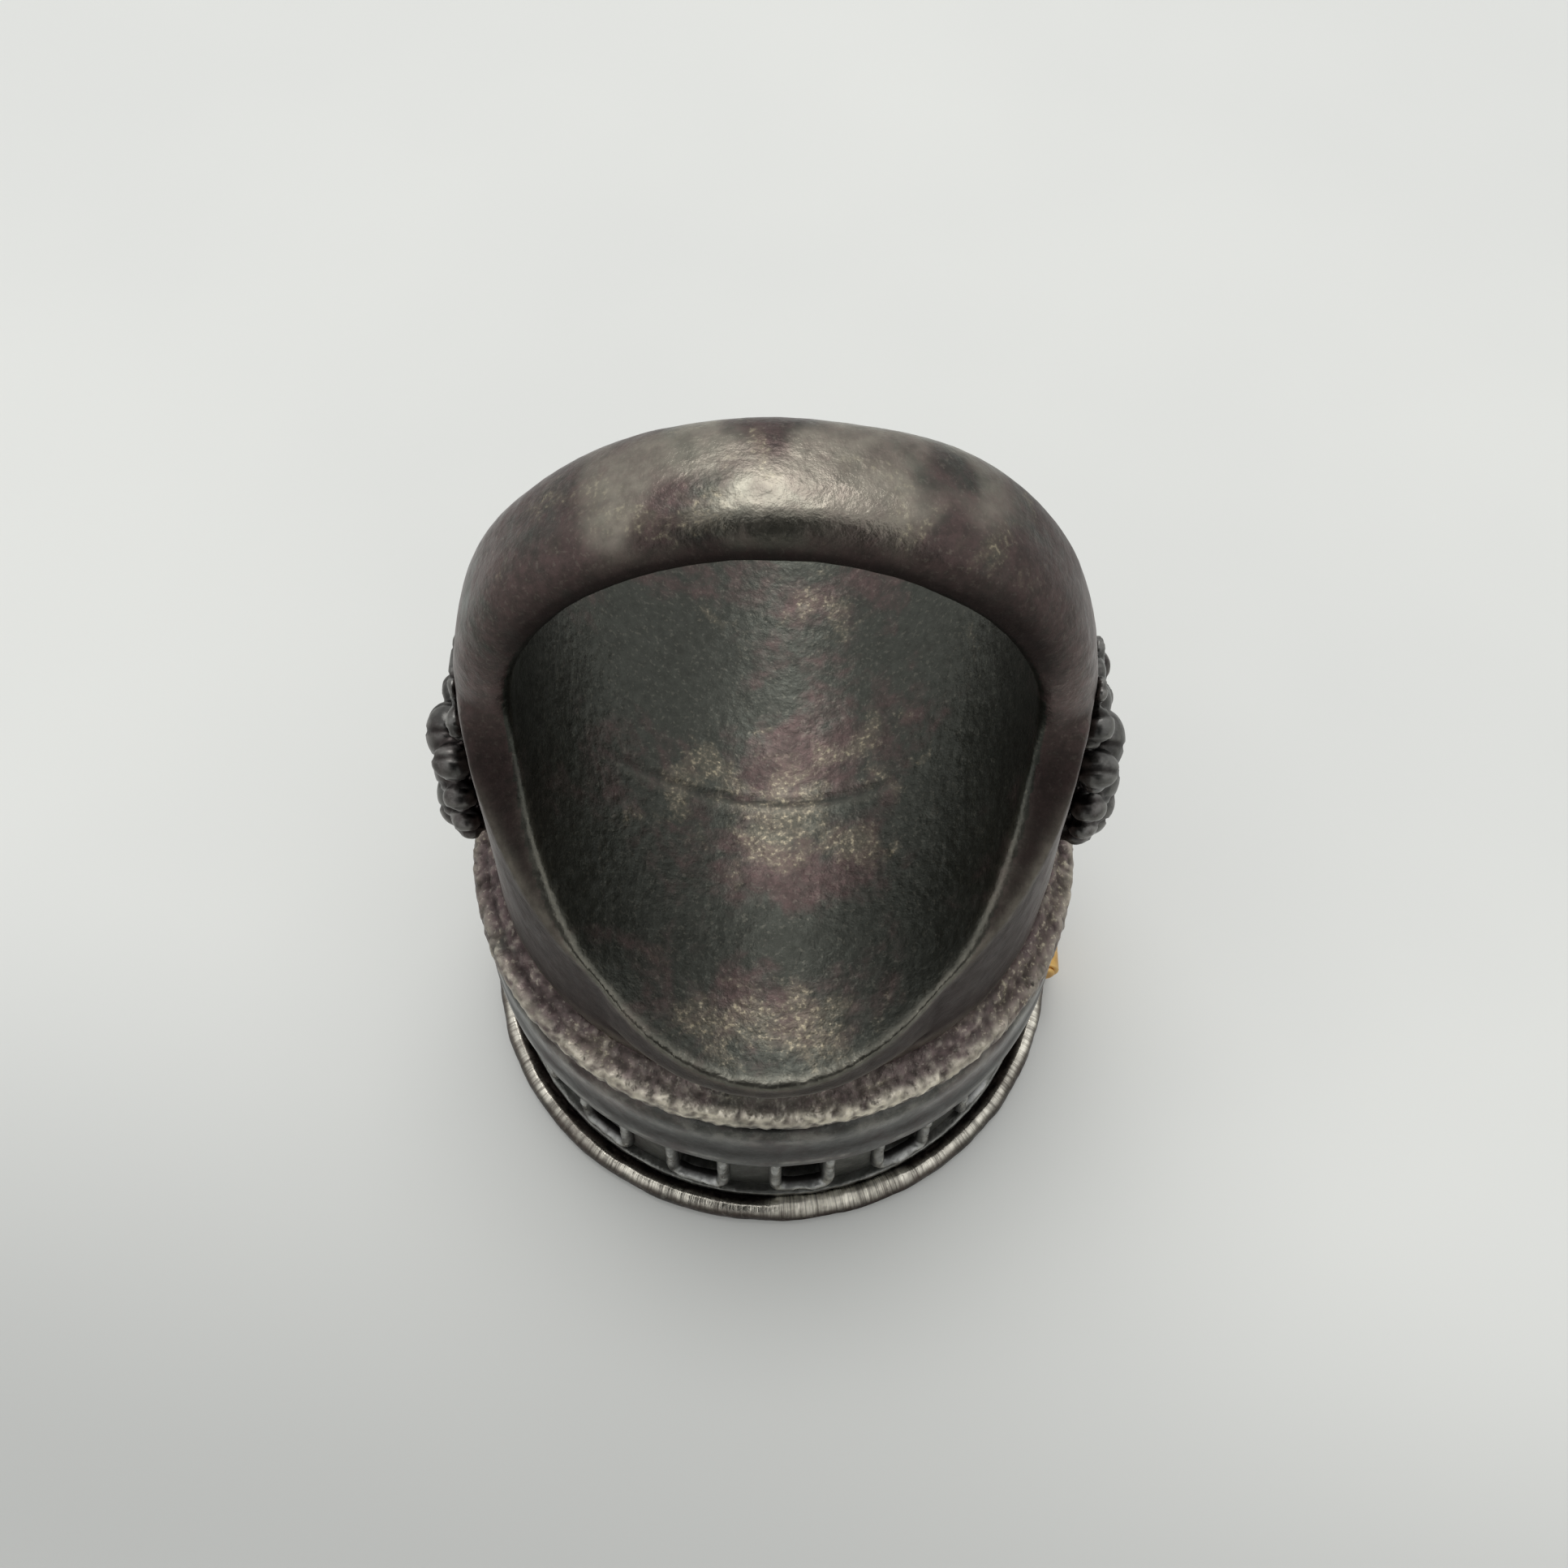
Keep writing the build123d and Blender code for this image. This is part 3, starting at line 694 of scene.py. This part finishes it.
# --- Shoulder ornaments -----------------------------------------------------------
# Tiers of a cast foliate scroll: (height, how far the leaf stands out, half width, half height). Heights are
# from the ornament's foot. Each leaf has a curl at either side.
SCROLLS = {
    "shoulder_ornament_left": (
        (0.7, 2.45, 1.5, 0.8), (2.0, 2.35, 1.9, 0.95), (4.2, 2.15, 2.1, 1.25), (6.8, 2.05, 2.0, 1.50),
        (9.4, 0.70, 1.6, 1.25), (11.5, 0.30, 1.2, 0.9)),
    "shoulder_ornament_right": (
        (1.0, 2.35, 1.4, 0.8), (2.4, 2.45, 1.8, 0.9), (4.4, 2.30, 2.1, 1.3), (7.2, 2.05, 2.0, 1.6),
        (10.0, 1.05, 1.6, 1.45), (12.1, 0.50, 1.1, 0.9)),
}
CURL = 0.42                              # a curl's radius as a share of its leaf's half height


def scroll_mesh(node, side):
    """One ornament's leaves and curls on a thin backing, before they are skinned; side is -1 or 1 along X."""
    foot = node_box(node)[0][2]
    bm = bmesh.new()

    def lump(out, along, height, half_out, half_along, half_height, turn):
        place = Matrix.Translation((side * (BAND_R + out), along, foot + height))
        spin = Matrix.Rotation(radians(turn), 4, "X")
        size = Matrix.Diagonal((half_out, half_along, half_height, 1))
        bmesh.ops.create_icosphere(bm, subdivisions=3, radius=1, matrix=place @ spin @ size)

    for height, reach, width, tall in SCROLLS[node]:
        deep = min(0.95, reach)
        lump(reach - deep, 0, height, deep, 0.62 * width, tall, 0)
        for way in (-1, 1):
            lump(0.55 * reach - 0.5 * deep + 0.1, way * 0.55 * width, height - 0.05,
                 0.75 * deep, 0.6 * width, 0.72 * tall, way * 35)
            ball = CURL * tall + 0.12
            lump(0.35 * reach, way * 0.86 * width, height + 0.42 * tall, min(ball + 0.1, 0.6 * reach), ball, ball, 0)
    backing = Matrix.Translation((side * (BAND_R - 0.1), 0, foot + 6.4)) @ Matrix.Diagonal((0.9, 2.2, 11.6, 1))
    bmesh.ops.create_cube(bm, size=1, matrix=backing)
    mesh = bpy.data.meshes.new("scroll_work")
    bm.to_mesh(mesh)
    bm.free()
    return mesh


def scroll_relief(points, normals):
    """Dark veins that slant up to both sides from the middle of each leaf."""
    lift = 0.03 * rough(points, 1.6, 2, 61)
    veins = np.sin(points[:, 2] * 3.0 - np.abs(points[:, 1]) * 5.0 + 1.0 * rough(points, 4.0, 2, 62))
    vein = smooth_step(0.50, 1.0, veins)
    return lift - 0.07 * vein, 0.8, 0, 0.45 * vein + 0.2, 0.4, 0.2


for node, side in (("shoulder_ornament_left", -1), ("shoulder_ornament_right", 1)):
    cast(node, scroll_mesh(node, side), 0.11, 4, ORNAMENT, scroll_relief, spread=10, gain=0.9)

# --- Floor, light and camera --------------------------------------------------------
FLOOR_HALF = 2.0                         # metres, as everything in this section
PAPER_IN_PAINTED_SHADOW, PAPER_FAR = (0.47, 0.475, 0.455), ((0.715, 0.72, 0.69), (0.745, 0.75, 0.715))
FADE_SKEW, FADE_START, FADE_END = 0.22, -0.036, -0.003  # painted shadow: the floor darkens towards the front, more so at the left


def flat_card(name, low_x, low_y, high_x, high_y, material):
    """A level rectangle of the set, which isn't part of the object."""
    mesh = bpy.data.meshes.new(name)
    mesh.from_pydata([(low_x, low_y, 0), (high_x, low_y, 0), (high_x, high_y, 0), (low_x, high_y, 0)], [],
                     [(0, 1, 2, 3)])
    mesh.materials.append(material)
    card = bpy.data.objects.new(name, mesh)
    bpy.context.scene.collection.objects.link(card)
    return card


paint = Nodes("table_top")
paper = paint.blend(paint.ramp(paint.noise(45.0, 3.0), 0.3, 0.7), *PAPER_FAR)
split = paint.add("ShaderNodeSeparateXYZ")
paint.put(split.inputs[0], paint.place)
away = paint.math("ADD", split.outputs["Y"], paint.math("MULTIPLY", split.outputs["X"], FADE_SKEW))
# the paper's colour with a painted shadow towards the front
paint.put(paint.shader.inputs["Base Color"],
          paint.blend(paint.ramp(away, FADE_START, FADE_END), PAPER_IN_PAINTED_SHADOW, paper))
paint.shader.inputs["Roughness"].default_value = 0.55
floor = flat_card("floor", -FLOOR_HALF, -FLOOR_HALF, FLOOR_HALF, FLOOR_HALF, paint.mat)

world = bpy.data.worlds.new("room")
world.use_nodes = True
world.node_tree.nodes["Background"].inputs["Color"].default_value = (0.98, 0.99, 1.0, 1)
world.node_tree.nodes["Background"].inputs["Strength"].default_value = 0.78
bpy.context.scene.world = world

CEILING, CEILING_AIM = Vector((-0.06, 0.20, 0.70)), Vector((0, 0, 0.01))
light_data = bpy.data.lights.new("ceiling", "AREA")
light_data.shape = "DISK"
light_data.size = 0.50
light_data.energy = 1.6
light = bpy.data.objects.new("ceiling", light_data)
light.location = CEILING
light.rotation_euler = (CEILING_AIM - CEILING).to_track_quat("-Z", "Y").to_euler()
bpy.context.scene.collection.objects.link(light)

# A dark card that shows only as a reflection, on the side of the pewter that faces the front and the top.
TILT, ROLL = radians(30), radians(1.2)   # the camera's, from looking straight down; the card has the same tilt
black = Nodes("flag_cloth")
black.put(black.shader.inputs["Base Color"], black.blend(black.noise(5.0), (0.02, 0.02, 0.02), (0.03, 0.03, 0.03)))
flag = flat_card("flag", -0.035, -0.15, 0.035, 0.012, black.mat)
flag.location = (0.0, -0.0436, 0.0933)
flag.rotation_euler = (TILT, 0, 0)
flag.visible_camera = False
flag.visible_diffuse = False
flag.visible_shadow = False

camera_data = bpy.data.cameras.new("camera")
camera_data.sensor_width = 36
camera_data.lens = 42.92
camera_data.clip_start = 0.002
camera_data.clip_end = 20
camera = bpy.data.objects.new("camera", camera_data)
camera.location = (0.00041, -0.03964, 0.08642)
camera.rotation_euler = (Matrix.Rotation(TILT, 3, "X") @ Matrix.Rotation(ROLL, 3, "Z")).to_euler()
bpy.context.scene.collection.objects.link(camera)
bpy.context.scene.camera = camera
bpy.context.scene.view_settings.view_transform = "Standard"
